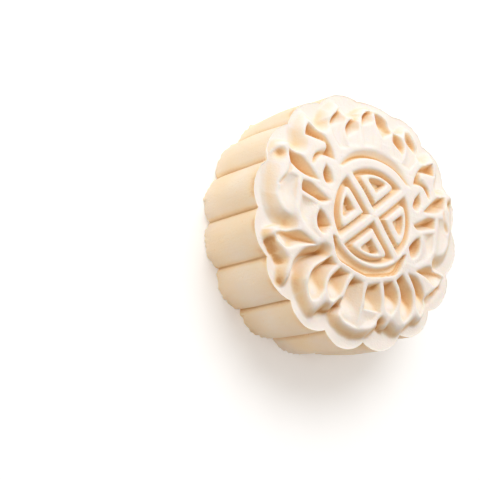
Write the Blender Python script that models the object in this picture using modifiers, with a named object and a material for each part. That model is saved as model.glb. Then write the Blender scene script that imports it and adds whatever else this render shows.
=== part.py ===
"""A whole lychee mooncake with a snow skin, lying on its flat base with its pressed face up.

Metres, +Z up. The origin is the middle of the base, and +Y is the top of the pressed ornament.
The cake is one solid: a scalloped body whose upper face carries a raised ornament, the same on
its left and right. The ornament's points are in notch radii, so it grows with the cake.
"""
import math

import bmesh
import bpy
from mathutils import Matrix

# The body: lobes all round, a little fuller at mid height than at its edges
WIDTH = 0.0650
LOBES = 16
BARREL = 0.012
TIP_RADIUS = WIDTH / 2 / (1 + BARREL)
NOTCH_RADIUS = TIP_RADIUS / 1.05
SHELF_HEIGHT = 0.0222
FIRST_NOTCH = math.radians(7.6)
LOBE_STEPS = 8
EDGE_ROUND = 0.0009

# The ornament stands on the body's upper face, the shelf, and is domed
RELIEF_CENTRE = 0.0063
RELIEF_EDGE = 0.0035
EDGE_AT = 0.95
CREST_ROUND = 0.0005
FLOOR_CENTRE = 0.0030
FLOOR_REACH = 0.86
SUNK = 0.0010
DENT_DEPTH = 0.0013
DENT_SIDES = 14
DENT_RINGS = 8
FLOOR_ROWS = 6
FLOOR_SIDES = 48
CORNER_CUT = 0.020
CORNER_SHARE = 0.45
STEP_LENGTH = 0.055
WELD = 0.00001
SHARP_ANGLE = math.radians(35)

# The round seal in the middle: bars and loops between a ring and a cross
SEAL_TURN = math.radians(-2.4)
SEAL_GAP_RADIUS = 0.385
SEAL_LOOP_RADIUS = 0.350
SEAL_EYE_RADIUS = 0.300
CROSS_HALF = 0.037
LOOP_START = 0.070
EYE_START = 0.145
ARC_STEPS = 8

# The ornament's left half. Each row of points is one smooth stretch, and stretches meet in corners.
RIM = [
    [(0.0, -0.985), (-0.13, -0.955), (-0.205, -0.885), (-0.245, -0.82)],
    [(-0.245, -0.82), (-0.305, -0.835), (-0.365, -0.82)],
    [(-0.365, -0.82), (-0.42, -0.875), (-0.50, -0.845), (-0.565, -0.72), (-0.575, -0.56), (-0.435, -0.385)],
    [(-0.435, -0.385), (-0.59, -0.455), (-0.655, -0.58), (-0.645, -0.71), (-0.70, -0.74), (-0.765, -0.66),
     (-0.765, -0.56), (-0.725, -0.50)],
    [(-0.725, -0.50), (-0.86, -0.44), (-0.93, -0.34), (-0.87, -0.265), (-0.78, -0.23)],
    [(-0.78, -0.23), (-0.90, -0.13), (-0.965, 0.01), (-0.925, 0.15), (-0.965, 0.29), (-0.90, 0.415),
     (-0.77, 0.40)],
    [(-0.77, 0.40), (-0.78, 0.60), (-0.70, 0.74), (-0.61, 0.725), (-0.545, 0.68)],
    [(-0.545, 0.68), (-0.50, 0.80), (-0.40, 0.91), (-0.345, 0.895), (-0.305, 0.855)],
    [(-0.305, 0.855), (-0.25, 0.84), (-0.20, 0.855)],
    [(-0.20, 0.855), (-0.12, 0.93), (0.0, 0.965)],
]
BOTTOM_FLOWER = [
    [[(-0.385, -0.415), (-0.31, -0.465)],
     [(-0.31, -0.465), (-0.375, -0.58), (-0.385, -0.72), (-0.44, -0.77), (-0.49, -0.68), (-0.48, -0.54),
      (-0.385, -0.415)]],
    [[(-0.27, -0.48), (-0.165, -0.515)],
     [(-0.165, -0.515), (-0.18, -0.64), (-0.25, -0.73), (-0.32, -0.67), (-0.315, -0.56), (-0.27, -0.48)]],
    [[(-0.115, -0.53), (-0.035, -0.56)],
     [(-0.035, -0.56), (-0.035, -0.72), (-0.045, -0.87)],
     [(-0.045, -0.87), (-0.13, -0.86), (-0.175, -0.75), (-0.155, -0.63), (-0.115, -0.53)]],
]
TOP_FLOWER = [
    [[(-0.375, 0.49), (-0.31, 0.515)],
     [(-0.31, 0.515), (-0.365, 0.66), (-0.375, 0.86)],
     [(-0.375, 0.86), (-0.47, 0.72), (-0.45, 0.60), (-0.375, 0.49)]],
    [[(-0.27, 0.535), (-0.165, 0.56)],
     [(-0.165, 0.56), (-0.21, 0.67), (-0.245, 0.775)],
     [(-0.245, 0.775), (-0.32, 0.69), (-0.31, 0.60), (-0.27, 0.535)]],
    [[(-0.12, 0.57), (-0.03, 0.59)],
     [(-0.03, 0.59), (-0.025, 0.74), (-0.05, 0.905)],
     [(-0.05, 0.905), (-0.16, 0.80), (-0.155, 0.68), (-0.12, 0.57)]],
]
LEAVES = [
    [[(-0.86, -0.33), (-0.78, -0.28), (-0.65, -0.28), (-0.51, -0.345)],
     [(-0.51, -0.345), (-0.63, -0.395), (-0.77, -0.415), (-0.86, -0.33)]],
    [[(-0.515, -0.06), (-0.46, -0.095), (-0.405, -0.17)],
     [(-0.405, -0.17), (-0.45, -0.245), (-0.51, -0.21), (-0.53, -0.13), (-0.515, -0.06)]],
    [[(-0.685, 0.14), (-0.60, 0.13), (-0.44, 0.03)],
     [(-0.44, 0.03), (-0.50, 0.0), (-0.60, 0.03), (-0.685, 0.06)],
     [(-0.685, 0.06), (-0.69, 0.10), (-0.685, 0.14)]],
    [[(-0.83, 0.35), (-0.70, 0.305), (-0.55, 0.175)],
     [(-0.55, 0.175), (-0.68, 0.18), (-0.79, 0.23), (-0.83, 0.35)]],
    [[(-0.49, 0.315), (-0.44, 0.26), (-0.42, 0.185), (-0.47, 0.165), (-0.51, 0.235), (-0.49, 0.315)]],
    [[(-0.66, 0.64), (-0.53, 0.575), (-0.445, 0.47), (-0.415, 0.38)],
     [(-0.415, 0.38), (-0.53, 0.385), (-0.61, 0.30)],
     [(-0.61, 0.30), (-0.59, 0.385), (-0.50, 0.435), (-0.50, 0.50), (-0.58, 0.515), (-0.685, 0.525)],
     [(-0.685, 0.525), (-0.68, 0.59), (-0.66, 0.64)]],
]
# Shallow dents, each with its middle, half length, half width and the turn of its length from +X
DENTS = [
    ((-0.805, 0.03), 0.150, 0.062, math.radians(95)),
    ((-0.610, -0.085), 0.095, 0.052, math.radians(125)),
    ((-0.700, 0.440), 0.090, 0.040, math.radians(150)),
]
TOP_GROOVE = [
    [(0.0, 0.54), (-0.15, 0.505), (-0.27, 0.445), (-0.345, 0.335)],
    [(-0.345, 0.335), (-0.23, 0.405), (-0.10, 0.445), (0.0, 0.455)],
]
BOTTOM_GROOVE = [
    [(0.0, -0.49), (-0.15, -0.455), (-0.31, -0.40), (-0.372, -0.245)],
    [(-0.372, -0.245), (-0.24, -0.365), (-0.12, -0.42), (0.0, -0.435)],
]


def clear_scene():
    for old in list(bpy.data.objects):
        bpy.data.objects.remove(old, do_unlink=True)


def new_collection(name):
    group = bpy.data.collections.new(name)
    bpy.context.scene.collection.children.link(group)
    return group


def skin_material():
    skin = bpy.data.materials.new("snow_skin")
    skin.use_nodes = True
    shader = skin.node_tree.nodes["Principled BSDF"]
    shader.inputs["Base Color"].default_value = (0.86, 0.74, 0.58, 1.0)
    shader.inputs["Roughness"].default_value = 0.55
    shader.inputs["Metallic"].default_value = 0.0
    return skin


def stretch(points):
    """A smooth line through the points, without its last point."""
    line = []
    last = len(points) - 1
    for i in range(last):
        start, end = points[i], points[i + 1]
        before = points[max(i - 1, 0)]
        after = points[min(i + 2, last)]
        steps = max(1, round(math.dist(start, end) / STEP_LENGTH))
        for k in range(steps):
            t = k / steps
            spot = []
            for axis in (0, 1):
                leave = (end[axis] - before[axis]) / 2
                arrive = (after[axis] - start[axis]) / 2
                spot.append((2 * t**3 - 3 * t**2 + 1) * start[axis] + (t**3 - 2 * t**2 + t) * leave
                            + (3 * t**2 - 2 * t**3) * end[axis] + (t**3 - t**2) * arrive)
            line.append(tuple(spot))
    return line


def halfway(start, end):
    return ((start[0] + end[0]) / 2, (start[1] + end[1]) / 2)


def near_corner(corner, neighbour):
    """The point where the rounding of a corner starts, on the way to the corner's neighbour."""
    share = min(CORNER_CUT / math.dist(corner, neighbour), CORNER_SHARE)
    return tuple(a + (b - a) * share for a, b in zip(corner, neighbour))


def closed_line(stretches):
    """One closed line from stretches that meet end to end, with each corner rounded a little."""
    lines = [stretch(points) for points in stretches]
    closed = []
    for i, line in enumerate(lines):
        corner = line[0]
        enter = near_corner(corner, lines[i - 1][-1])
        leave = near_corner(corner, (line + lines[(i + 1) % len(lines)])[1])
        closed.extend([enter, halfway(corner, halfway(enter, leave)), leave])
        closed.extend(line[1:])
    return closed


def mirrored(points):
    return [(-x, y) for x, y in reversed(points)]


def both_halves(stretches):
    """Stretches that start and end on the middle line, closed by their mirror image."""
    return closed_line(stretches + [mirrored(points) for points in reversed(stretches)])


def seal_openings():
    """The gaps round the four loops of the seal, the loops' outer lines and their eyes."""
    openings = []
    for quarter in range(4):
        middle = SEAL_TURN + quarter * math.pi / 2
        for start, radius in ((CROSS_HALF, SEAL_GAP_RADIUS), (LOOP_START, SEAL_LOOP_RADIUS),
                              (EYE_START, SEAL_EYE_RADIUS)):
            half = math.pi / 4 - math.asin(start / radius)
            sector = [(start * math.sqrt(2) * math.cos(middle), start * math.sqrt(2) * math.sin(middle))]
            for k in range(ARC_STEPS + 1):
                angle = middle - half + 2 * half * k / ARC_STEPS
                sector.append((radius * math.cos(angle), radius * math.sin(angle)))
            openings.append(sector)
    return openings


def relief_height(x, y):
    """Height of the ornament's crests above the shelf, domed towards the middle."""
    reach = min(math.hypot(x, y) / NOTCH_RADIUS / EDGE_AT, 1.1)
    return RELIEF_CENTRE + (RELIEF_EDGE - RELIEF_CENTRE) * reach**2


def body():
    """The scalloped body: rows of its outline, lofted by extruding one face."""
    half = math.pi / LOBES
    chord_middle = NOTCH_RADIUS * math.cos(half)
    bulge = TIP_RADIUS - chord_middle
    arc_radius = ((NOTCH_RADIUS * math.sin(half))**2 + bulge**2) / (2 * bulge)
    arc_centre = TIP_RADIUS - arc_radius
    arc_half = math.asin(NOTCH_RADIUS * math.sin(half) / arc_radius)
    outline = []
    for lobe in range(LOBES):
        turn = FIRST_NOTCH + (2 * lobe + 1) * half
        for k in range(LOBE_STEPS):
            swing = arc_half * (2 * k / LOBE_STEPS - 1)
            x = arc_centre + arc_radius * math.cos(swing)
            y = arc_radius * math.sin(swing)
            outline.append((x * math.cos(turn) - y * math.sin(turn),
                            x * math.sin(turn) + y * math.cos(turn)))

    shape = bmesh.new()
    face = shape.faces.new([shape.verts.new((x, y, 0.0)) for x, y in outline])
    inset = EDGE_ROUND / TIP_RADIUS
    size_now = 1.0
    rows = ((0.0, 1 - inset), (0.3 * EDGE_ROUND, 1 - 0.3 * inset), (EDGE_ROUND, 1.0),
            (SHELF_HEIGHT / 2, 1 + BARREL), (SHELF_HEIGHT - EDGE_ROUND, 1.0),
            (SHELF_HEIGHT - 0.3 * EDGE_ROUND, 1 - 0.3 * inset), (SHELF_HEIGHT, 1 - inset))
    for height, size in rows:
        if height > 0:
            grown = bmesh.ops.extrude_face_region(shape, geom=[face])
            if face.index != 0:
                shape.faces.remove(face)
            face = [item for item in grown["geom"] if isinstance(item, bmesh.types.BMFace)][0]
        for vert in face.verts:
            vert.co = (vert.co.x * size / size_now, vert.co.y * size / size_now, height)
        size_now = size
    bmesh.ops.recalc_face_normals(shape, faces=shape.faces)
    mesh = bpy.data.meshes.new("mooncake")
    shape.to_mesh(mesh)
    shape.free()
    return bpy.data.objects.new("mooncake", mesh)


def flat_form(name, lines, bottom, top, edge_round):
    """A mesh of an extruded drawing: lines inside another line are openings."""
    drawing = bpy.data.curves.new(name, "CURVE")
    drawing.dimensions = "2D"
    drawing.fill_mode = "BOTH"
    drawing.bevel_depth = edge_round
    drawing.bevel_resolution = 1
    drawing.offset = -edge_round
    drawing.extrude = (top - bottom) / 2 - edge_round
    for points in lines:
        spline = drawing.splines.new("POLY")
        spline.points.add(len(points) - 1)
        for point, (x, y) in zip(spline.points, points):
            point.co = (x * NOTCH_RADIUS, y * NOTCH_RADIUS, 0.0, 1.0)
        spline.use_cyclic_u = True
    draft = bpy.data.objects.new(name + "_drawing", drawing)
    bpy.context.scene.collection.objects.link(draft)
    draft.location.z = (top + bottom) / 2
    view = bpy.context.evaluated_depsgraph_get()
    mesh = bpy.data.meshes.new_from_object(draft.evaluated_get(view))
    mesh.transform(Matrix.Translation(draft.location))
    bpy.data.objects.remove(draft, do_unlink=True)
    shape = bmesh.new()
    shape.from_mesh(mesh)
    bmesh.ops.remove_doubles(shape, verts=shape.verts, dist=WELD)
    bmesh.ops.recalc_face_normals(shape, faces=shape.faces)
    shape.to_mesh(mesh)
    shape.free()
    return bpy.data.objects.new(name, mesh)


def left_and_right(forms):
    lines = []
    for stretches in forms:
        line = closed_line(stretches)
        lines.extend([line, mirrored(line)])
    return lines


def ornament():
    """The raised ornament with its openings cut through, its crests domed."""
    lines = [both_halves(RIM)]
    lines += left_and_right(BOTTOM_FLOWER + TOP_FLOWER + LEAVES)
    lines += [both_halves(TOP_GROOVE), both_halves(BOTTOM_GROOVE)]
    lines += seal_openings()
    crests = flat_form("ornament", lines, SHELF_HEIGHT - SUNK, SHELF_HEIGHT + RELIEF_CENTRE, CREST_ROUND)
    for vert in crests.data.vertices:
        if vert.co.z > SHELF_HEIGHT:
            vert.co.z += relief_height(vert.co.x, vert.co.y) - RELIEF_CENTRE
    return crests


def opening_floor():
    """The low dome that closes the ornament's openings from below: a turned profile."""
    reach = FLOOR_REACH * NOTCH_RADIUS
    shares = [k / FLOOR_ROWS for k in range(FLOOR_ROWS + 1)]
    rim = [(reach * share, FLOOR_CENTRE * (1 - share**2)) for share in shares]
    profile = bmesh.new()
    line = [profile.verts.new((x, 0.0, SHELF_HEIGHT + z)) for x, z in rim]
    line.append(profile.verts.new((reach, 0.0, SHELF_HEIGHT - SUNK)))
    line.append(profile.verts.new((0.0, 0.0, SHELF_HEIGHT - SUNK)))
    for start, end in zip(line, line[1:]):
        profile.edges.new((start, end))
    mesh = bpy.data.meshes.new("floor_profile")
    profile.to_mesh(mesh)
    profile.free()
    floor = bpy.data.objects.new("floor", mesh)
    turn = floor.modifiers.new("turn", "SCREW")
    turn.steps = FLOOR_SIDES
    turn.render_steps = FLOOR_SIDES
    turn.use_merge_vertices = True
    turn.merge_threshold = WELD
    return floor


def dent(middle, half_length, half_width, turn):
    """A flat ball that dents the ornament's crest where its middle lies."""
    x, y = middle[0] * NOTCH_RADIUS, middle[1] * NOTCH_RADIUS
    shape = bmesh.new()
    bmesh.ops.create_uvsphere(shape, u_segments=DENT_SIDES, v_segments=DENT_RINGS, radius=1.0)
    size = Matrix.Diagonal((half_length * NOTCH_RADIUS, half_width * NOTCH_RADIUS, DENT_DEPTH, 1.0))
    place = Matrix.Translation((x, y, SHELF_HEIGHT + relief_height(x, y)))
    shape.transform(place @ Matrix.Rotation(turn, 4, "Z") @ size)
    mesh = bpy.data.meshes.new("dent")
    shape.to_mesh(mesh)
    shape.free()
    return bpy.data.objects.new("dent", mesh)


def combine(target, operation, pieces):
    """One Boolean of the target with a collection's pieces, applied."""
    step = target.modifiers.new(operation.lower(), "BOOLEAN")
    step.operation = operation
    step.operand_type = "COLLECTION"
    step.collection = pieces
    step.solver = "MANIFOLD"
    view = bpy.context.evaluated_depsgraph_get()
    result = bpy.data.meshes.new_from_object(target.evaluated_get(view))
    target.modifiers.clear()
    target.data = result


def remove_pieces(pieces):
    for piece in list(pieces.objects):
        bpy.data.objects.remove(piece, do_unlink=True)
    bpy.data.collections.remove(pieces)


clear_scene()
cake = new_collection("lychee_mooncake")
relief = new_collection("relief")
cutters = new_collection("cutters")

mooncake = body()
cake.objects.link(mooncake)
relief.objects.link(ornament())
relief.objects.link(opening_floor())
for middle, half_length, half_width, turn in DENTS:
    for side, lean in ((1, turn), (-1, math.pi - turn)):
        cutter = dent((side * middle[0], middle[1]), half_length, half_width, lean)
        cutter.hide_render = True
        cutter.display_type = "WIRE"
        cutters.objects.link(cutter)

combine(mooncake, "UNION", relief)
remove_pieces(relief)
combine(mooncake, "DIFFERENCE", cutters)
mooncake.data.materials.append(skin_material())
mooncake.data.shade_smooth()
mooncake.data.set_sharp_from_angle(angle=SHARP_ANGLE)
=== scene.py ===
import math

import bpy
import numpy as np
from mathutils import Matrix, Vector


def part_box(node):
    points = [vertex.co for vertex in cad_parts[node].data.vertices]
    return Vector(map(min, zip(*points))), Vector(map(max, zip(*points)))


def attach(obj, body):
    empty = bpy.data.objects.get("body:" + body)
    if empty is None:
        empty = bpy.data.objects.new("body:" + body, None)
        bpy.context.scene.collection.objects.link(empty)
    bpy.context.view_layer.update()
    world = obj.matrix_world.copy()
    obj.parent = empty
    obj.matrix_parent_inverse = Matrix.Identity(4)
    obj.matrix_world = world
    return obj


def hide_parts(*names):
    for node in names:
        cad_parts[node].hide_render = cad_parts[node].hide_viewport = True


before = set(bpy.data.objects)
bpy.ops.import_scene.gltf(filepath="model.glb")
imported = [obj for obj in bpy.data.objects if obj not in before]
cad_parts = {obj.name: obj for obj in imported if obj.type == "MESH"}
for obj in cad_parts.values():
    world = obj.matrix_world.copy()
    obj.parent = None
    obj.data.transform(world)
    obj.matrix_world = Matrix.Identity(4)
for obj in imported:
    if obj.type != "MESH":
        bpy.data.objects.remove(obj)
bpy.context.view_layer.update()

# The cake's form in notch radii: the radius of the valleys between the lobes is 1. The lobes at
# the front right are fuller, and the back one is flatter.
LOBES = 16
HALF_LOBE = math.pi / LOBES
FIRST_NOTCH = math.radians(7.6)
TIP = 1.05
FULLER = 0.035
FULL_SIDE = math.radians(-75)
FLATTER = 0.040
FLAT_SIDE = math.radians(86)
FLAT_WIDTH = math.radians(14)
BARREL = 0.012
SHELF = 0.7258
CREST_MIDDLE = 0.206
CREST_EDGE = 0.1144
EDGE_AT = 0.95
CREST_REACH = 1.1
cad_low, cad_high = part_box("mooncake")
UNIT = (cad_high[2] - cad_low[2]) / (SHELF + CREST_MIDDLE)

# The fine mesh: rings of points that get fewer towards the middle, with some more close to the
# edge. Rings beyond LOBED_FROM take on the lobes' outline.
AROUND = 640
RING_STEP = 0.0078
EDGE_RINGS = (0.9975, 0.995, 0.989)
HALVE_AT = (0.54, 0.25)
SIDE_ROWS = 26
BASE_ROWS = (0.97, 0.8, 0.5)
EDGE_CROWD = 0.55
LOBED_FROM = 0.85
POLES = ((0.0, 0.0, SHELF + CREST_MIDDLE), (0.0, 0.0, 0.0))
SPAN_STEPS = 6
TINY = 1e-12

# Slopes and roundings of the ornament, in notch radii
CREST_ROUND = 0.030
CREST_FALL = 0.024
POCKET_MARGIN = 2 * CREST_ROUND
LEAF_SLOPE = 2.3
LEAF_DEPTH = 0.19
FLOOR_BLEND = 0.03
CREST_POWER = 2.6
SEAL_ROUND = 0.038
SEAL_DEPTH = 0.075
SEAL_SHOULDER = 0.030
SEAL_SLOPE = 1.9
EYE_DEPTH = 0.085
EYE_ROUND = 0.036
GAP_CORNER = 0.012
LOOP_CORNER = 0.045
EYE_CORNER = 0.030
RING_HIGH = 0.487
RING_LOW = 0.432
TOP_GROOVE_SLOPE = 0.9
BOTTOM_GROOVE_DEPTH = 0.06
EDGE_CUT = 0.014
LINE_WIDTH = 0.010
TOP_LINE = 0.012
BOTTOM_LINE = 0.022
RIM_SLOPE = 3.0
FOOT_ROUND = 0.045
BLEND = 0.020

# The edge of the shelf has a thin lip, the sides have creases between the lobes, which start just
# below the edge, and the base has a frayed foot
LIP_HEIGHT = 0.007
LIP_WIDTH = 0.005
LIP_UNEVEN = 0.4
CREASE_DEPTH = 0.022
CREASE_WIDTH = 0.014
CREASE_START = 0.04
FRAY_DEPTH = 0.007
FRAY_HEIGHT = 0.022
FRAY_STRETCH = (1, 1, 0.3)
SWELL = 0.003

# Unevenness is a sum of waves. Each sort has their size in notch radii and the seed of their draw.
WAVE_COUNT = 9
WAVE_PITCH = (0.6, 1.6)
LIP_WAVES = (0.05, 1)
FACE_WAVES = (0.3, 2)
SIDE_WAVES = (0.35, 3)
FRAY_WAVES = (0.06, 5)
PATCH_WAVES = (0.3, 7)
TINT_WAVES = (0.5, 8)

# The skin is pale on level ground. Painted shade makes its walls, pockets, creases and dimples tan
# to brown, less on walls that face the back, which are painted paler as if lit. The side is a
# warmer tan all over.
STEEP_SHADE = 0.95
STEEP_FROM = 0.14
STEEP_OVER = 0.40
BACK_PAINTED_LIGHT = 0.7
BACK_OVER = 0.5
DEPTH_SHADE = 0.30
DEPTH_OVER = 0.12
CARVED_SHADE = 0.65
LINE_SHADE = 0.9
INNER_TO = 0.02
INNER_OVER = 0.05
DIMPLE_SHADE = 28.0
CAVITY_ROUNDS = 8
CAVITY_SHADE = 24.0
FOOT_HOLLOW = 0.008
SEAL_CAVITY = 0.35
SIDE_WARM = 0.46
LIP_WARM = SIDE_WARM / 2
SIDE_UNEVEN = 0.06
CREASE_SHADE = 0.55
EDGE_WARM = 0.35
EDGE_WARM_HEIGHT = 0.06
PALE = (0.92, 0.87, 0.825, 1.0)
TAN_TONE_AND_SHADE = (0.94, 0.72, 0.46, 1.0)
DEEP_SHADE_COLOUR = (0.76, 0.44, 0.19, 1.0)
WARM_STOP = 0.62

# The skin's fine detail: scales are per metre, and the rest is shares of the warmth, of the
# roughness and of the bump's height
MOTTLE_SCALE = 130.0
MOTTLE_DETAIL = 3.0
MOTTLE_WARM = 0.16
MOTTLE_ROUGH = 0.25
FINE_DETAIL = 2.0
GRAIN_SCALE = 2200.0
GRAIN_WARM = 0.20
STREAK_SCALE = 1100.0
STREAK_SQUEEZE = 0.10
STREAK_WARM = 0.09
STREAK_BUMP = 0.7
PORE_SCALE = 520.0
PORE_SIZE = 0.16
PORE_WARM = 0.22
PORE_BUMP = 1.2
ROUGHNESS = 0.62
SPECULAR = 0.3
BUMP_STRENGTH = 0.5
BUMP_HEIGHT = 0.00018
SOFT_SHARE = 0.4
SOFT_COLOUR = (1.0, 0.7, 0.45)
SOFT_DEPTH = 0.0012

# The round seal in the middle: its ring, the cross, and a loop with an eye in each quarter
SEAL_TURN = math.radians(-2.4)
SEAL_GAP_RADIUS = 0.385
SEAL_LOOP_RADIUS = 0.350
SEAL_EYE_RADIUS = 0.300
CROSS_HALF = 0.040
LOOP_START = 0.068
EYE_START = 0.148

# The ornament's left half. Each row of points is one smooth stretch, and stretches meet in
# corners. The rim's stretches give the width of its wall and how round its crest is.
RIM = [
    (0.10, 2.3, [(0.0, -0.985), (-0.13, -0.955), (-0.215, -0.90), (-0.24, -0.835),
                 (-0.20, -0.765)]),
    (0.07, 2.3, [(-0.20, -0.765), (-0.255, -0.825), (-0.33, -0.825)]),
    (0.11, 2.3, [(-0.33, -0.825), (-0.40, -0.885), (-0.465, -0.88), (-0.53, -0.81), (-0.59, -0.71),
                 (-0.615, -0.61), (-0.555, -0.47), (-0.435, -0.385)]),
    (0.08, 2.0, [(-0.435, -0.385), (-0.565, -0.425), (-0.635, -0.51), (-0.65, -0.60),
                 (-0.675, -0.68), (-0.715, -0.705), (-0.755, -0.675), (-0.775, -0.60),
                 (-0.775, -0.515)]),
    (0.065, 1.5, [(-0.775, -0.515), (-0.855, -0.425), (-0.925, -0.355), (-0.93, -0.29)]),
    (0.045, 2.0, [(-0.93, -0.29), (-0.87, -0.255), (-0.78, -0.23)]),
    (0.125, 1.5, [(-0.78, -0.23), (-0.87, -0.20), (-0.935, -0.12), (-0.975, 0.0)]),
    (0.15, 1.6, [(-0.975, 0.0), (-0.985, 0.15), (-0.975, 0.30)]),
    (0.07, 2.0, [(-0.975, 0.30), (-0.925, 0.42), (-0.84, 0.455), (-0.76, 0.445)]),
    (0.13, 1.5, [(-0.76, 0.445), (-0.78, 0.60), (-0.70, 0.74), (-0.61, 0.725), (-0.545, 0.68)]),
    (0.085, 1.8, [(-0.545, 0.68), (-0.50, 0.80), (-0.40, 0.91), (-0.345, 0.895), (-0.305, 0.855)]),
    (0.09, 1.6, [(-0.305, 0.855), (-0.25, 0.84), (-0.20, 0.855)]),
    (0.07, 2.0, [(-0.20, 0.855), (-0.12, 0.93), (0.0, 0.965)]),
]
# On the right half the outer petals reach further down and close to the arm beside them
LOW_RIGHT_RIM = [
    (0.10, 2.3, [(0.0, -0.985), (-0.13, -0.955), (-0.195, -0.905), (-0.225, -0.875),
                 (-0.225, -0.835)]),
    (0.07, 2.3, [(-0.225, -0.835), (-0.275, -0.875), (-0.33, -0.86)]),
    (0.11, 2.3, [(-0.33, -0.86), (-0.40, -0.89), (-0.465, -0.88), (-0.53, -0.82), (-0.59, -0.765)]),
    (0.07, 2.0, [(-0.59, -0.765), (-0.655, -0.75), (-0.71, -0.69), (-0.72, -0.62), (-0.70, -0.55)]),
    (0.065, 1.5, [(-0.70, -0.55), (-0.80, -0.46), (-0.89, -0.38), (-0.91, -0.31)]),
    (0.045, 2.0, [(-0.91, -0.31), (-0.86, -0.26), (-0.78, -0.23)]),
]
# Which halves have a form
LEFT = (1,)
BOTH = (1, -1)
RIGHT = (-1,)
# Each pocket has its outline with its walls' slopes, then where its floor is deepest and how deep,
# then the same where it rises. The leaves have level floors and walls that are all alike.
FLOWERS = [
    (BOTH, [(2.5, [(-0.365, -0.41), (-0.31, -0.465)]),
            (1.7, [(-0.31, -0.465), (-0.355, -0.52), (-0.385, -0.60), (-0.39, -0.68),
                   (-0.42, -0.745), (-0.465, -0.78)]),
            (2.3, [(-0.465, -0.78), (-0.51, -0.72), (-0.53, -0.63), (-0.515, -0.56),
                   (-0.475, -0.50), (-0.365, -0.41)])],
     (-0.40, -0.48), 0.18, (-0.45, -0.74), 0.05),
    (BOTH, [(2.5, [(-0.265, -0.485), (-0.175, -0.51)]),
            (1.7, [(-0.175, -0.51), (-0.20, -0.58), (-0.225, -0.68), (-0.26, -0.73),
                   (-0.31, -0.745)]),
            (2.3, [(-0.31, -0.745), (-0.345, -0.69), (-0.355, -0.63), (-0.335, -0.56),
                   (-0.265, -0.485)])],
     (-0.25, -0.53), 0.16, (-0.30, -0.71), 0.04),
    (RIGHT, [(2.5, [(-0.43, -0.385), (-0.53, -0.395), (-0.61, -0.46), (-0.65, -0.54),
                    (-0.66, -0.62), (-0.63, -0.69)]),
             (1.6, [(-0.63, -0.69), (-0.575, -0.63), (-0.55, -0.54), (-0.51, -0.47),
                    (-0.43, -0.385)])],
     (-0.50, -0.43), 0.16, (-0.62, -0.66), 0.03),
    (LEFT, [(2.5, [(-0.125, -0.53), (-0.035, -0.555)]),
            (0.9, [(-0.035, -0.555), (-0.02, -0.70), (-0.01, -0.91)]),
            (2.3, [(-0.01, -0.91), (-0.10, -0.895), (-0.17, -0.86), (-0.205, -0.79), (-0.19, -0.70),
                   (-0.165, -0.60), (-0.125, -0.53)])],
     (-0.10, -0.58), 0.16, (-0.10, -0.85), 0.045),
    (RIGHT, [(2.5, [(-0.13, -0.53), (-0.02, -0.565)]),
             (1.7, [(-0.02, -0.565), (-0.01, -0.65), (-0.025, -0.755)]),
             (2.2, [(-0.025, -0.755), (-0.185, -0.755)]),
             (1.3, [(-0.185, -0.755), (-0.18, -0.66), (-0.13, -0.53)])],
     (-0.10, -0.58), 0.16, (-0.10, -0.75), 0.075),
    (RIGHT, [(0.4, [(-0.185, -0.74), (-0.01, -0.74)]),
             (0.5, [(-0.01, -0.74), (0.0, -0.90)]),
             (0.8, [(0.0, -0.90), (-0.09, -0.885), (-0.16, -0.83), (-0.185, -0.74)])],
     (-0.08, -0.80), 0.05, (-0.08, -0.90), 0.03),
    (BOTH, [(1.5, [(-0.365, 0.495), (-0.29, 0.515)]),
            (0.9, [(-0.29, 0.515), (-0.325, 0.59), (-0.335, 0.68), (-0.32, 0.77), (-0.335, 0.885)]),
            (3.0, [(-0.335, 0.885), (-0.39, 0.81), (-0.445, 0.735), (-0.46, 0.66), (-0.425, 0.57),
                   (-0.365, 0.495)])],
     (-0.40, 0.81), 0.14, (-0.34, 0.71), 0.03),
    (BOTH, [(1.0, [(-0.27, 0.545), (-0.17, 0.56)]),
            (1.1, [(-0.17, 0.56), (-0.175, 0.70), (-0.205, 0.81)]),
            (3.0, [(-0.205, 0.81), (-0.265, 0.765), (-0.31, 0.69), (-0.30, 0.62), (-0.27, 0.545)])],
     (-0.27, 0.75), 0.15, (-0.20, 0.66), 0.02),
    (LEFT, [(1.0, [(-0.13, 0.575), (-0.015, 0.60)]),
            (1.1, [(-0.015, 0.60), (-0.01, 0.77), (-0.02, 0.93)]),
            (3.0, [(-0.02, 0.93), (-0.08, 0.905), (-0.135, 0.835), (-0.145, 0.72),
                   (-0.13, 0.575)])],
     (-0.09, 0.885), 0.15, (-0.04, 0.79), 0.02),
    (RIGHT, [(3.0, [(-0.07, 0.70), (-0.005, 0.80), (0.005, 0.915)]),
             (2.0, [(0.005, 0.915), (-0.10, 0.87), (-0.17, 0.765)]),
             (2.0, [(-0.17, 0.765), (-0.07, 0.70)])],
     (-0.03, 0.86), 0.14, (-0.12, 0.75), 0.08),
]
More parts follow.
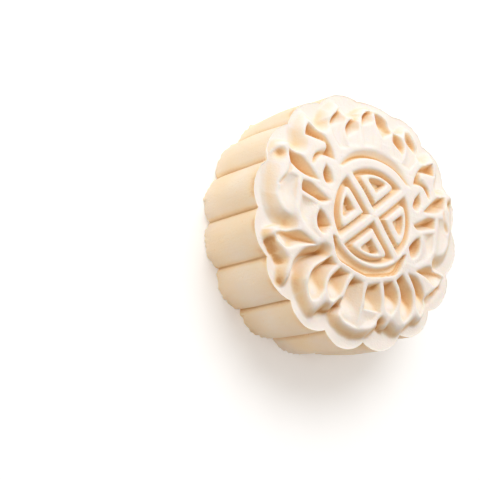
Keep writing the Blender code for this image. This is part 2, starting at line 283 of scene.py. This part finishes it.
LEAVES = [
    [[(-0.515, -0.06), (-0.46, -0.095), (-0.405, -0.17)],
     [(-0.405, -0.17), (-0.45, -0.245), (-0.51, -0.21), (-0.53, -0.13), (-0.515, -0.06)]],
    [[(-0.685, 0.14), (-0.60, 0.13), (-0.44, 0.03)],
     [(-0.44, 0.03), (-0.50, 0.0), (-0.60, 0.03), (-0.685, 0.06)],
     [(-0.685, 0.06), (-0.69, 0.10), (-0.685, 0.14)]],
    [[(-0.82, 0.385), (-0.735, 0.355), (-0.65, 0.285), (-0.55, 0.175)],
     [(-0.55, 0.175), (-0.65, 0.185), (-0.735, 0.215), (-0.80, 0.265)],
     [(-0.80, 0.265), (-0.815, 0.325), (-0.82, 0.385)]],
    [[(-0.49, 0.315), (-0.44, 0.26), (-0.42, 0.185), (-0.47, 0.165), (-0.51, 0.235),
      (-0.49, 0.315)]],
    [[(-0.66, 0.64), (-0.53, 0.575), (-0.445, 0.47), (-0.415, 0.38)],
     [(-0.415, 0.38), (-0.53, 0.385), (-0.61, 0.30)],
     [(-0.61, 0.30), (-0.59, 0.385), (-0.50, 0.435), (-0.50, 0.50), (-0.58, 0.515),
      (-0.685, 0.525)],
     [(-0.685, 0.525), (-0.68, 0.59), (-0.66, 0.64)]],
]
LOW_LEAF = (BOTH, [(2.3, [(-0.865, -0.325), (-0.80, -0.275), (-0.70, -0.265), (-0.61, -0.29),
                          (-0.51, -0.345)]),
                   (2.3, [(-0.51, -0.345), (-0.65, -0.37), (-0.75, -0.415), (-0.81, -0.39),
                          (-0.865, -0.325)])],
            (-0.70, -0.31), 0.15, (-0.77, -0.40), 0.05)
# Shallow panels beside the midrib
PANELS = [
    (BOTH, [(0.6, [(-0.74, 0.15), (-0.80, 0.165)]),
            (1.0, [(-0.80, 0.165), (-0.86, 0.11), (-0.89, 0.01)]),
            (0.8, [(-0.89, 0.01), (-0.84, -0.09), (-0.72, -0.19)]),
            (0.8, [(-0.72, -0.19), (-0.735, -0.08), (-0.74, 0.15)])],
     (-0.78, 0.08), 0.050, (-0.80, -0.10), 0.025),
    (BOTH, [(0.9, [(-0.68, 0.01), (-0.55, -0.03)]),
            (0.9, [(-0.55, -0.03), (-0.575, -0.12), (-0.555, -0.22), (-0.50, -0.28)]),
            (0.9, [(-0.50, -0.28), (-0.61, -0.22), (-0.68, -0.12), (-0.68, 0.01)])],
     (-0.68, -0.08), 0.06, (-0.57, -0.12), 0.02),
]
# The crescents' outlines reach under the ring, which has its own round edge
TOP_GROOVE = [
    [(0.0, 0.56), (-0.15, 0.53), (-0.27, 0.465), (-0.37, 0.345)],
    [(-0.37, 0.345), (-0.20, 0.33), (0.0, 0.35)],
]
BOTTOM_GROOVE = [
    [(0.0, -0.50), (-0.16, -0.465), (-0.305, -0.405), (-0.372, -0.245)],
    [(-0.372, -0.245), (-0.20, -0.30), (0.0, -0.33)],
]
# Dimples where the ornament's ends meet the shelf: which halves, place, size and depth
DIMPLES = [
    (BOTH, -0.865, -0.375, 0.036, 0.034),
    (BOTH, -0.835, -0.440, 0.035, 0.018),
    (LEFT, -0.735, -0.675, 0.040, 0.022),
    (BOTH, -0.905, 0.335, 0.032, 0.020),
    (BOTH, -0.865, 0.335, 0.032, 0.020),
    (BOTH, -0.885, 0.300, 0.034, 0.016),
    (BOTH, -0.375, -0.450, 0.028, 0.016),
    (BOTH, -0.245, -0.525, 0.028, 0.016),
    (BOTH, -0.105, -0.565, 0.028, 0.016),
]

# Creases where two forms meet: which halves, how wide, how deep, how much shade is painted into
# them, and the line they follow
CREASES = [
    (LEFT, 0.016, 0.020, 0.55, [(-0.425, 0.725), (-0.37, 0.80), (-0.325, 0.87)]),
    (LEFT, 0.018, 0.020, 0.55, [(-0.275, 0.69), (-0.24, 0.755), (-0.195, 0.80)]),
    (LEFT, 0.018, 0.020, 0.55, [(-0.115, 0.83), (-0.065, 0.885), (-0.015, 0.915)]),
    (BOTH, 0.022, 0.030, 0.25, [(-0.88, -0.385), (-0.845, -0.43), (-0.80, -0.485),
                                (-0.765, -0.53)]),
    (LEFT, 0.026, 0.020, 0.30, [(-0.36, -0.85), (-0.285, -0.825), (-0.205, -0.77)]),
    (LEFT, 0.020, 0.020, 0.30, [(-0.63, -0.545), (-0.555, -0.455), (-0.435, -0.385)]),
    (RIGHT, 0.014, 0.012, 0.20, [(-0.30, -0.885), (-0.245, -0.865), (-0.215, -0.80)]),
    (BOTH, 0.014, 0.016, 0.22, [(-0.87, 0.08), (-0.845, 0.12), (-0.81, 0.19), (-0.80, 0.24)]),
    (BOTH, 0.016, 0.010, 0.30, [(-0.605, 0.33), (-0.575, 0.385), (-0.515, 0.43)]),
]

# The photograph's camera, fitted to the lobes' notches: place in notch radii, turn in degrees
CAMERA_PLACE = (-6.0687, -2.8451, 8.6094)
CAMERA_TURN = (10.840, -33.409, 6.878)
CAMERA_LENS = 94.59
SENSOR = 36.0

# The sky's light, dimmer and warmer from the front left
DIM_SIDE = (-0.22, -0.94, -0.25)
DIM_FROM = -0.15
DIM_TO = 0.64
SKY_BRIGHT = (1.0, 0.96, 0.91, 1.0)
SKY_DIM = (0.25, 0.135, 0.06, 1.0)
SKY_STRENGTH = 0.72

# Two soft lamps: a large one above the back, and a weak, low one at the left
KEY_PLACE = (-0.10, 0.38, 0.64)
KEY_SIZE = 0.45
KEY_WATTS = 2.75
SIDE_PLACE = (-0.55, 0.0, 0.16)
SIDE_SIZE = 0.20
SIDE_WATTS = 0.22
LIGHT_AIM = (0.0, 0.0, 0.015)

# The floor lies a little below the base
FLOOR_SIZE = 6.0
FLOOR_HEIGHT = -0.0002
FLOOR_COLOUR = (0.90, 0.92, 0.94, 1.0)
FLOOR_ROUGHNESS = 0.7
FLOOR_GLOW = 0.22
WHITE = (1.0, 1.0, 1.0, 1.0)


def smooth_line(points):
    """A smooth line through the points."""
    line = []
    last = len(points) - 1
    spots = np.array(points)
    share = (np.arange(SPAN_STEPS) / SPAN_STEPS)[:, None]
    for i in range(last):
        start, end = spots[i], spots[i + 1]
        leave = (end - spots[max(i - 1, 0)]) / 2
        arrive = (spots[min(i + 2, last)] - start) / 2
        line.append((2 * share**3 - 3 * share**2 + 1) * start
                    + (share**3 - 2 * share**2 + share) * leave
                    + (3 * share**2 - 2 * share**3) * end + (share**3 - share**2) * arrive)
    return np.concatenate(line + [spots[-1:]])


def mirrored(points):
    return [(-x, y) for x, y in reversed(points)]


def both_halves(stretches):
    """Stretches that start and end on the middle line, closed by their mirror image."""
    return stretches + [mirrored(points) for points in reversed(stretches)]


def outline_gaps(x, y, stretches):
    """Each point's distance to each stretch of a closed outline, and whether it lies inside."""
    gaps = []
    inside = np.zeros(x.shape, bool)
    for points in stretches:
        nearest = np.full(x.shape, np.inf)
        line = smooth_line(points)
        for (ax, ay), (bx, by) in zip(line, line[1:]):
            run, rise = bx - ax, by - ay
            length = max(run * run + rise * rise, TINY)
            share = np.clip(((x - ax) * run + (y - ay) * rise) / length, 0, 1)
            reach = (x - ax - share * run)**2 + (y - ay - share * rise)**2
            nearest = np.minimum(nearest, reach)
            if rise != 0:
                inside ^= ((ay > y) != (by > y)) & (x < ax + (y - ay) * run / rise)
        gaps.append(np.sqrt(nearest))
    return gaps, inside


def inside_depth(x, y, stretches):
    """How far each point lies inside a closed outline; outside it the distance is negative."""
    gaps, inside = outline_gaps(x, y, stretches)
    return np.where(inside, 1, -1) * np.minimum.reduce(gaps)


def smooth_max(a, b, blend):
    gap = np.clip(0.5 + 0.5 * (a - b) / blend, 0, 1)
    return b + (a - b) * gap + blend * gap * (1 - gap)


def smooth_min(a, b, blend):
    return -smooth_max(-a, -b, blend)


def fall(depth, rounding, slope):
    """How far the surface falls: a rounded crest before an edge, then a straight wall."""
    crest = rounding / 2 * np.clip(1 + depth / rounding, 0, 1)**2
    return slope * (crest + np.clip(depth, 0, None))


def round_fall(depth, rounding, limit):
    """A fall with a broad crest that turns over its edges, down to a flat floor."""
    share = np.clip(1 + depth / rounding, 0, 1)
    return limit * (1 - (1 - share**CREST_POWER)**(1 / CREST_POWER))


def seal_fall(x, y):
    """The round seal: openings slope from its ring and cross to the loops, which have eyes."""
    radius = np.hypot(x, y)
    sunk = np.zeros(x.shape)
    for quarter in range(4):
        middle = SEAL_TURN + quarter * math.pi / 2
        along = x * math.cos(middle) + y * math.sin(middle)
        across = np.abs(-x * math.sin(middle) + y * math.cos(middle))
        bar = (along - across) / math.sqrt(2)
        gap = smooth_min(bar - CROSS_HALF, SEAL_GAP_RADIUS - radius, GAP_CORNER)
        loop = smooth_min(bar - LOOP_START, SEAL_LOOP_RADIUS - radius, LOOP_CORNER)
        eye = smooth_min(bar - EYE_START, SEAL_EYE_RADIUS - radius, EYE_CORNER)
        opening = np.minimum(fall(gap, SEAL_SHOULDER, SEAL_SLOPE),
                             round_fall(-loop, SEAL_ROUND, SEAL_DEPTH))
        sunk = np.maximum(sunk, np.maximum(opening, round_fall(eye, EYE_ROUND, EYE_DEPTH)))
    return sunk


def groove_falls(x, y):
    """The crescents beside the ring, and a line of painted shade along the upper one's inner edge
    and the lower one's outer edge, which only colours the surface."""
    radius = np.hypot(x, y)
    depth = inside_depth(x, y, both_halves(TOP_GROOVE))
    top = np.minimum(fall(depth, CREST_ROUND, TOP_GROOVE_SLOPE),
                     round_fall(radius - RING_HIGH, SEAL_ROUND, SEAL_DEPTH))
    line = np.exp(-((radius - RING_HIGH - TOP_LINE) / LINE_WIDTH)**2)
    line *= np.clip(depth / CREST_ROUND, 0, 1)
    depth = inside_depth(x, y, both_halves(BOTTOM_GROOVE))
    cut = round_fall(depth, EDGE_CUT, SEAL_DEPTH)
    slope = smooth_min(fall(radius - RING_LOW, SEAL_SHOULDER, SEAL_SLOPE),
                       BOTTOM_GROOVE_DEPTH, FLOOR_BLEND)
    line += np.exp(-((depth - BOTTOM_LINE) / LINE_WIDTH)**2) * (radius > RING_LOW)
    return np.maximum(top, np.minimum(cut, slope)), line


def rim_fall(x, y, crest):
    """How far the surface falls near the rim, with round crests, and how far outside the rim
    each point lies."""
    right = (LOW_RIGHT_RIM + RIM[len(LOW_RIGHT_RIM):])[::-1]
    stretches = [points for _, _, points in RIM] + [mirrored(points) for _, _, points in right]
    gaps, inside = outline_gaps(x, y, stretches)
    shares = [1 - (1 - np.clip(gap / width, 0, 1))**power
              for gap, (width, power, _) in zip(gaps, RIM + right)]
    nearest = np.minimum.reduce(gaps)
    wall = crest * (1 - np.minimum.reduce(shares))
    drop = np.where(inside, wall, crest + RIM_SLOPE * nearest)
    return drop, np.where(inside, -1, 1) * nearest


def pocket_fall(x, y, pocket):
    """A pocket's fall: a rounded crest, then walls that have each their slope, down to a floor
    that rises to one side."""
    walls, deep_at, deep, rise_at, shallow = pocket
    gaps, inside = outline_gaps(x, y, [points for _, points in walls])
    edge = CREST_FALL * np.clip(1 - np.minimum.reduce(gaps) / CREST_ROUND, 0, 1)**2
    wall = CREST_FALL + np.minimum.reduce([slope * gap for gap, (slope, _) in zip(gaps, walls)])
    run, rise = rise_at[0] - deep_at[0], rise_at[1] - deep_at[1]
    length = max(run * run + rise * rise, TINY)
    share = np.clip(((x - deep_at[0]) * run + (y - deep_at[1]) * rise) / length, 0, 1)
    floor = deep + (shallow - deep) * share * share * (3 - 2 * share)
    return smooth_min(np.where(inside, wall, edge), floor, FLOOR_BLEND)


def carve_pockets(x, y, sunk):
    """Carves the pockets of the leaves and flowers and the shallow panels."""
    level = ((0.0, 0.0), LEAF_DEPTH) * 2
    leaves = [(BOTH, [(LEAF_SLOPE, points) for points in leaf], *level) for leaf in LEAVES]
    for sides, *pocket in leaves + [LOW_LEAF] + FLOWERS + PANELS:
        corners = np.concatenate([points for _, points in pocket[0]])
        low, high = corners.min(axis=0) - POCKET_MARGIN, corners.max(axis=0) + POCKET_MARGIN
        for side in sides:
            across = side * x
            near = np.flatnonzero((across > low[0]) & (across < high[0])
                                  & (y > low[1]) & (y < high[1]))
            carved = pocket_fall(across[near], y[near], pocket)
            sunk[near] = smooth_max(sunk[near], carved, BLEND)


def press_lines(x, y, height, painted_shade):
    """Presses the creases and dimples into the surface and paints shade into them."""
    for sides, width, deep, warm, points in CREASES:
        for side in sides:
            (gap,), _ = outline_gaps(side * x, y, [points])
            press = np.exp(-(gap / width)**2)
            height -= deep * press
            # Painted shade along each crease, as much as its row gives
            painted_shade += warm * press
    for sides, px, py, size, deep in DIMPLES:
        for side in sides:
            dip = deep * np.exp(-((side * x - px)**2 + (y - py)**2) / size**2)
            height -= dip
            # Painted shade in each dimple, darker where it is deeper
            painted_shade += DIMPLE_SHADE * dip


def relief(x, y):
    """Height of the pressed face above the shelf, the shade painted into its pockets, seal, lines,
    creases and dimples, and a share that is 0 outside the rim and 1 inside it."""
    radius = np.hypot(x, y)
    bulge = np.clip(radius / EDGE_AT, 0, CREST_REACH)**2
    crest = CREST_MIDDLE + (CREST_EDGE - CREST_MIDDLE) * bulge
    groove, line = groove_falls(x, y)
    seal = np.where(radius < SEAL_GAP_RADIUS + SEAL_ROUND, seal_fall(x, y), 0)
    sunk = np.maximum(seal, groove)
    carved = np.clip(sunk / SEAL_DEPTH, 0, 1)
    carve_pockets(x, y, sunk)
    drop, outside = rim_fall(x, y, crest)
    sunk = smooth_max(sunk, drop, BLEND)
    height = smooth_max(crest - sunk, 0, FOOT_ROUND)
    inner = np.clip((INNER_TO - outside) / INNER_OVER, 0, 1)
    # Painted shade: darker the deeper a point lies inside the rim, in the seal's openings and along
    # the crescents' lines
    depth_shade = DEPTH_SHADE * inner * np.clip(sunk / DEPTH_OVER, 0, 1)
    painted_shade = np.maximum(depth_shade, CARVED_SHADE * carved) + LINE_SHADE * line
    press_lines(x, y, height, painted_shade)
    return height, painted_shade, inner


def full_tip(angle, swing):
    """Radius of each lobe's tip at the shelf's edge."""
    middle = angle - swing
    flat = np.exp(-((middle - FLAT_SIDE) / FLAT_WIDTH)**2)
    return TIP + FULLER * np.clip(np.cos(middle - FULL_SIDE), 0, 1)**2 - FLATTER * flat


def lobe_radius(swing, tip):
    """Radius of the scalloped outline: round arcs that meet in valleys."""
    bulge = tip - math.cos(HALF_LOBE)
    arc = (math.sin(HALF_LOBE)**2 + bulge**2) / (2 * bulge)
    centre = tip - arc
    return centre * np.cos(swing) + np.sqrt(arc**2 - (centre * np.sin(swing))**2)


def ring_angles(count, crowd):
    """Angles round the cake, crowded towards the valleys, and the swing from each lobe's middle."""
    turn = np.arange(count) * LOBES / count
    lobe = np.floor(turn)
    share = turn - lobe
    share = share - crowd * np.sin(2 * math.pi * share) / (2 * math.pi)
    swing = (2 * share - 1) * HALF_LOBE
    return FIRST_NOTCH + (2 * lobe + 1) * HALF_LOBE + swing, swing


def ring(share, count):
    """Points of one ring of the pressed face: round inside, lobed at the edge."""
    lobed = np.clip((share - LOBED_FROM) / (1 - LOBED_FROM), 0, 1)
    lobed = lobed * lobed * (3 - 2 * lobed)
    angle, swing = ring_angles(count, -EDGE_CROWD * lobed)
    radius = share * (1 + (lobe_radius(swing, full_tip(angle, swing)) - 1) * lobed)
    return np.stack([radius * np.cos(angle), radius * np.sin(angle)], 1)


def face_rings():
    """The pressed face's points from above, ring by ring from the edge inwards, how far inwards
    each lies, and how many points each ring has."""
    shares = np.linspace(1, 0, round(1 / RING_STEP) + 1)[:-1]
    shares = sorted([*shares, *EDGE_RINGS], reverse=True)
    counts = [AROUND >> sum(share < edge for edge in HALVE_AT) for share in shares]
    flat = np.concatenate([ring(share, count) for share, count in zip(shares, counts)])
    return flat, 1 - np.repeat(shares, counts), counts


def waves(points, size, seed):
    """Smooth unevenness of about -1 to 1, the sum of waves that run in drawn directions."""
    draw = np.random.default_rng(seed)
    total = np.zeros(len(points))
    for _ in range(WAVE_COUNT):
        heading = draw.normal(size=points.shape[1])
        heading *= draw.uniform(*WAVE_PITCH) * 2 * math.pi / size / np.linalg.norm(heading)
        total += np.sin(points @ heading + draw.uniform(0, 2 * math.pi))
    return total / math.sqrt(WAVE_COUNT)


def side_rows(rim):
    """The side from under the shelf's edge down to the base: barrelled, creased between lobes
    and frayed at its foot. Its lobes are all alike at the base."""
    angle, swing = ring_angles(AROUND, -EDGE_CROWD)
    narrow = lobe_radius(swing, TIP) / lobe_radius(swing, full_tip(angle, swing)) - 1
    gap = HALF_LOBE - np.abs(swing)
    crease = CREASE_DEPTH * np.exp(-(gap / CREASE_WIDTH)**2)
    rows = []
    for row in range(1, SIDE_ROWS + 1):
        share = (1 + math.cos(math.pi * row / SIDE_ROWS)) / 2
        height = SHELF * share
        size = 1 + BARREL * (1 - (2 * share - 1)**2)
        flat = rim[:, :2] * (size + narrow * (1 - share))[:, None]
        spots = np.column_stack([flat, np.full(AROUND, height)])
        grow = SWELL * waves(spots, *SIDE_WAVES) - crease * min(1, (1 - share) / CREASE_START)
        fray = FRAY_DEPTH * math.exp(-(height / FRAY_HEIGHT)**2)
        grow += fray * waves(spots * FRAY_STRETCH, *FRAY_WAVES)
        spots[:, :2] *= (1 + grow)[:, None]
        rows.append(spots)
    return rows


def join_rings(first, first_count, second, second_count):
    """Faces between an outer ring and the next one, which has as many points or half as many."""
    faces = []
    ratio = first_count // second_count
    for k in range(second_count):
        a, b = second + k, second + (k + 1) % second_count
        outer = [first + (k * ratio + step) % first_count for step in range(ratio + 1)]
        if ratio == 1:
            faces.append((outer[0], outer[1], b, a))
        else:
            faces.extend([(outer[0], outer[1], a), (outer[1], b, a), (outer[1], outer[2], b)])
    return faces


def cake_faces(top_rings, low_rings, pole):
    """Faces from the pressed face's middle out to its edge, down the side and in to the base's
    middle."""
    faces = []
    for wide, narrow in zip(top_rings, top_rings[1:]):
        faces += join_rings(*wide, *narrow)
    start, count = top_rings[-1]
    faces += [(start + k, start + (k + 1) % count, pole) for k in range(count)]
    down = top_rings[:1] + low_rings
    for upper, below in zip(down, down[1:]):
        faces += [tuple(reversed(face)) for face in join_rings(*upper, *below)]
    start, count = low_rings[-1]
    return faces + [(start + (k + 1) % count, start + k, pole + 1) for k in range(count)]


def cavity(heights, pairs):
    """How far each point lies below the points round it, in several rounds of smoothing."""
    count = np.bincount(pairs.ravel(), minlength=len(heights))
    smooth = heights.copy()
    for _ in range(CAVITY_ROUNDS):
        total = np.bincount(pairs[:, 0], smooth[pairs[:, 1]], len(heights))
        total += np.bincount(pairs[:, 1], smooth[pairs[:, 0]], len(heights))
        smooth = total / count
    return smooth - heights


def face_painted_shade(mesh, spots, painted_shade, inner):
    """Painted shade on each point of the pressed face: on walls, more the steeper they are and less
    where they face the back, below the points round it, and as relief() gives it.
    """
    size = len(painted_shade)
    pairs = np.empty(len(mesh.edges) * 2, np.int32)
    mesh.edges.foreach_get("vertices", pairs)
    # Painted shade where a point lies below the points round it, less at the rim's foot and in the
    # seal
    cavity_shade = cavity(spots[:, 2], pairs.reshape(-1, 2))[:size]
    cavity_shade -= FOOT_HOLLOW * (1 - inner)
    cavity_shade[np.hypot(spots[:size, 0], spots[:size, 1]) < SEAL_GAP_RADIUS] *= SEAL_CAVITY
    normals = np.empty(len(spots) * 3, np.float32)
    mesh.vertices.foreach_get("normal", normals)
    _, back, up = normals.reshape(-1, 3)[:size].T
    # Painted shade on the walls, more the steeper they are; walls that face the back, towards the
    # key lamp, are painted paler as if lit
    steep_shade = np.clip((1 - STEEP_FROM - up) / STEEP_OVER, 0, 1)
    steep_shade *= 1 - BACK_PAINTED_LIGHT * np.clip(back / BACK_OVER, 0, 1)
    return WARM_STOP * (STEEP_SHADE * steep_shade + painted_shade) + CAVITY_SHADE * cavity_shade


def side_tone_and_shade(spots):
    """The tone of each point of the side and the base: uneven, with painted shade in the creases
    between the lobes, and warmer in patches below the edge."""
    swing = ring_angles(AROUND, -EDGE_CROWD)[1]
    # Painted shade in the creases between the lobes
    valley = np.exp(-((HALF_LOBE - np.abs(swing)) / CREASE_WIDTH)**2)
    patches = np.exp(-((SHELF - spots[:, 2]) / EDGE_WARM_HEIGHT)**2)
    patches *= np.clip(waves(spots, *PATCH_WAVES), 0, 1)
    tone_and_painted_shade = SIDE_WARM + (SIDE_UNEVEN * waves(spots, *TINT_WAVES) + EDGE_WARM * patches)
    return tone_and_painted_shade + np.tile(CREASE_SHADE * valley, len(spots) // AROUND)


def cake_mesh():
    """The cake's mesh, with its points' tone and painted shade, and a mark for those of the side.
    """
    flat, inwards, counts = face_rings()
    height, painted_shade, inner = relief(flat[:, 0], flat[:, 1])
    lip = LIP_HEIGHT * np.exp(-(inwards / LIP_WIDTH)**2)
    lip *= 1 + LIP_UNEVEN * waves(flat, *LIP_WAVES)
    height += lip + SWELL * waves(flat, *FACE_WAVES)
    top = np.column_stack([flat, SHELF + height])
    lower = side_rows(top[:AROUND])
    foot = lower[-1][:, :2]
    lower += [np.column_stack([foot * share, np.zeros(AROUND)]) for share in BASE_ROWS]
    spots = np.concatenate([top, *lower, POLES])

    starts = np.concatenate([[0], np.cumsum(counts)])
    low_rings = [(len(top) + AROUND * row, AROUND) for row in range(len(lower))]
    faces = cake_faces(list(zip(starts, counts)), low_rings, len(spots) - len(POLES))
    mesh = bpy.data.meshes.new("mooncake_skin")
    mesh.from_pydata((spots * UNIT).tolist(), [], faces)

    around = slice(len(top), -len(POLES))
    # Each point's tone and painted shade: painted shade on the pressed face, a paler lip, and the
    # side's tone with painted shade in its creases
    tone_and_painted_shade = np.full(len(spots), SIDE_WARM)
    tone_and_painted_shade[:len(top)] = face_painted_shade(mesh, spots, painted_shade, inner)
    tone_and_painted_shade[:AROUND] = LIP_WARM
    tone_and_painted_shade[around] = side_tone_and_shade(spots[around])
    side = np.zeros(len(spots))
    side[around] = 1
    for name, values in (("tone_and_painted_shade", np.clip(tone_and_painted_shade, 0, 1)), ("side", side)):
        data = mesh.attributes.new(name, "FLOAT", "POINT").data
        data.foreach_set("value", values.astype(np.float32))
    mesh.shade_smooth()
    return mesh


def skin_material():
    """Snow skin: fine flour grain and soft mottling all over, pores and streaks from the mould
    down the sides."""
    skin = bpy.data.materials.new("snow_skin")
    skin.use_nodes = True
    tree = skin.node_tree
    shader = tree.nodes["Principled BSDF"]
    place = tree.nodes.new("ShaderNodeTexCoord").outputs["Object"]

    def value(attribute):
        node = tree.nodes.new("ShaderNodeAttribute")
        node.attribute_name = attribute
        return node.outputs["Fac"]

    def math_node(operation, *terms):
        node = tree.nodes.new("ShaderNodeMath")
        node.operation = operation
        for socket, term in zip(node.inputs, terms):
            if isinstance(term, (int, float)):
                socket.default_value = term
            else:
                tree.links.new(term, socket)
        return node.outputs["Value"]

    def noise(scale, detail, squeeze=1.0):
        """Noise about zero; a squeeze below 1 draws it out along the cake's height."""
        stretch_node = tree.nodes.new("ShaderNodeMapping")
        stretch_node.inputs["Scale"].default_value = (scale, scale, scale * squeeze)
        tree.links.new(place, stretch_node.inputs["Vector"])
        node = tree.nodes.new("ShaderNodeTexNoise")
        node.inputs["Scale"].default_value = 1.0
        node.inputs["Detail"].default_value = detail
        tree.links.new(stretch_node.outputs["Vector"], node.inputs["Vector"])
        return math_node("SUBTRACT", node.outputs["Fac"], 0.5)

    def pores():
        """Dots that are 1 in their middle and fade to 0."""
        node = tree.nodes.new("ShaderNodeTexVoronoi")
        node.inputs["Scale"].default_value = PORE_SCALE
        tree.links.new(place, node.inputs["Vector"])
        dots = tree.nodes.new("ShaderNodeMapRange")
        dots.interpolation_type = "SMOOTHSTEP"
        limits = {"From Min": 0.0, "From Max": PORE_SIZE, "To Min": 1.0, "To Max": 0.0}
        for name, number in limits.items():
            dots.inputs[name].default_value = number
        tree.links.new(node.outputs["Distance"], dots.inputs["Value"])
        return dots.outputs["Result"]

    side = value("side")
    mottle = noise(MOTTLE_SCALE, MOTTLE_DETAIL)
    grain = noise(GRAIN_SCALE, FINE_DETAIL)
    streaks = math_node("MULTIPLY", noise(STREAK_SCALE, FINE_DETAIL, STREAK_SQUEEZE), side)
    dots = math_node("MULTIPLY", pores(), side)
    # The point attribute brings the painted shade and the side's tone; the noises add the skin's
    # own mottling, grain, streaks and pores
    tone_and_painted_shade = math_node("MULTIPLY_ADD", mottle, MOTTLE_WARM, value("tone_and_painted_shade"))
    tone_and_painted_shade = math_node("MULTIPLY_ADD", grain, GRAIN_WARM, tone_and_painted_shade)
    tone_and_painted_shade = math_node("MULTIPLY_ADD", streaks, STREAK_WARM, tone_and_painted_shade)
    tone_and_painted_shade = math_node("MULTIPLY_ADD", dots, PORE_WARM, tone_and_painted_shade)
    # Pale for level ground, tan for the side's tone and for painted shade, brown for the deepest
    # painted shade
    colours = tree.nodes.new("ShaderNodeValToRGB")
    pale, deep = colours.color_ramp.elements
    pale.color = PALE
    deep.color = DEEP_SHADE_COLOUR
    colours.color_ramp.elements.new(WARM_STOP).color = TAN_TONE_AND_SHADE
    tree.links.new(tone_and_painted_shade, colours.inputs["Fac"])
    tree.links.new(colours.outputs["Color"], shader.inputs["Base Color"])

    rough = math_node("MULTIPLY_ADD", mottle, MOTTLE_ROUGH, ROUGHNESS)
    tree.links.new(rough, shader.inputs["Roughness"])
    height = math_node("MULTIPLY_ADD", streaks, STREAK_BUMP, grain)
    height = math_node("MULTIPLY_ADD", dots, -PORE_BUMP, height)
    bump = tree.nodes.new("ShaderNodeBump")
    bump.inputs["Strength"].default_value = BUMP_STRENGTH
    bump.inputs["Distance"].default_value = BUMP_HEIGHT
    tree.links.new(height, bump.inputs["Height"])
    tree.links.new(bump.outputs["Normal"], shader.inputs["Normal"])
    shader.inputs["Specular IOR Level"].default_value = SPECULAR
    shader.inputs["Subsurface Weight"].default_value = SOFT_SHARE
    shader.inputs["Subsurface Radius"].default_value = SOFT_COLOUR
    shader.inputs["Subsurface Scale"].default_value = SOFT_DEPTH
    return skin


def area_light(name, place, size, watts):
    lamp = bpy.data.lights.new(name, "AREA")
    lamp.shape = "DISK"
    lamp.size = size
    lamp.energy = watts
    light = bpy.data.objects.new(name, lamp)
    light.location = place
    aim = Vector(LIGHT_AIM) - Vector(place)
    light.rotation_euler = aim.to_track_quat("-Z", "Y").to_euler()
    bpy.context.scene.collection.objects.link(light)


def add_camera():
    lens = bpy.data.cameras.new("photo_camera")
    lens.lens = CAMERA_LENS
    lens.sensor_width = SENSOR
    camera = bpy.data.objects.new("photo_camera", lens)
    camera.location = [part * UNIT for part in CAMERA_PLACE]
    camera.rotation_euler = [math.radians(turn) for turn in CAMERA_TURN]
    bpy.context.scene.collection.objects.link(camera)
    bpy.context.scene.camera = camera


def add_floor():
    bpy.ops.mesh.primitive_plane_add(size=FLOOR_SIZE, location=(0.0, 0.0, FLOOR_HEIGHT))
    floor = bpy.context.object
    floor.name = "floor"
    paper = bpy.data.materials.new("floor_white")
    paper.use_nodes = True
    shader = paper.node_tree.nodes["Principled BSDF"]
    shader.inputs["Base Color"].default_value = FLOOR_COLOUR
    shader.inputs["Emission Color"].default_value = WHITE
    shader.inputs["Emission Strength"].default_value = FLOOR_GLOW
    shader.inputs["Roughness"].default_value = FLOOR_ROUGHNESS
    floor.data.materials.append(paper)


def add_world():
    """Soft light from all round, dimmer and warmer from one side, as beside a warm reflector."""
    world = bpy.data.worlds.new("studio")
    world.use_nodes = True
    nodes, links = world.node_tree.nodes, world.node_tree.links
    place = nodes.new("ShaderNodeTexCoord")
    facing = nodes.new("ShaderNodeVectorMath")
    facing.operation = "DOT_PRODUCT"
    facing.inputs[1].default_value = DIM_SIDE
    blend = nodes.new("ShaderNodeMapRange")
    blend.interpolation_type = "SMOOTHSTEP"
    blend.inputs["From Min"].default_value = DIM_FROM
    blend.inputs["From Max"].default_value = DIM_TO
    colours = nodes.new("ShaderNodeValToRGB")
    bright, dim = colours.color_ramp.elements
    bright.color = SKY_BRIGHT
    dim.color = SKY_DIM
    sky = nodes["Background"]
    sky.inputs["Strength"].default_value = SKY_STRENGTH
    links.new(place.outputs["Generated"], facing.inputs[0])
    links.new(facing.outputs["Value"], blend.inputs["Value"])
    links.new(blend.outputs["Result"], colours.inputs["Fac"])
    links.new(colours.outputs["Color"], sky.inputs["Color"])
    bpy.context.scene.world = world
    bpy.context.scene.view_settings.view_transform = "Standard"


add_camera()
skin_piece = bpy.data.objects.new("mooncake_skin", cake_mesh())
bpy.context.scene.collection.objects.link(skin_piece)
skin_piece.data.materials.append(skin_material())
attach(skin_piece, "root")
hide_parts("mooncake")

add_floor()
add_world()
area_light("key", KEY_PLACE, KEY_SIZE, KEY_WATTS)
area_light("side", SIDE_PLACE, SIDE_SIZE, SIDE_WATTS)
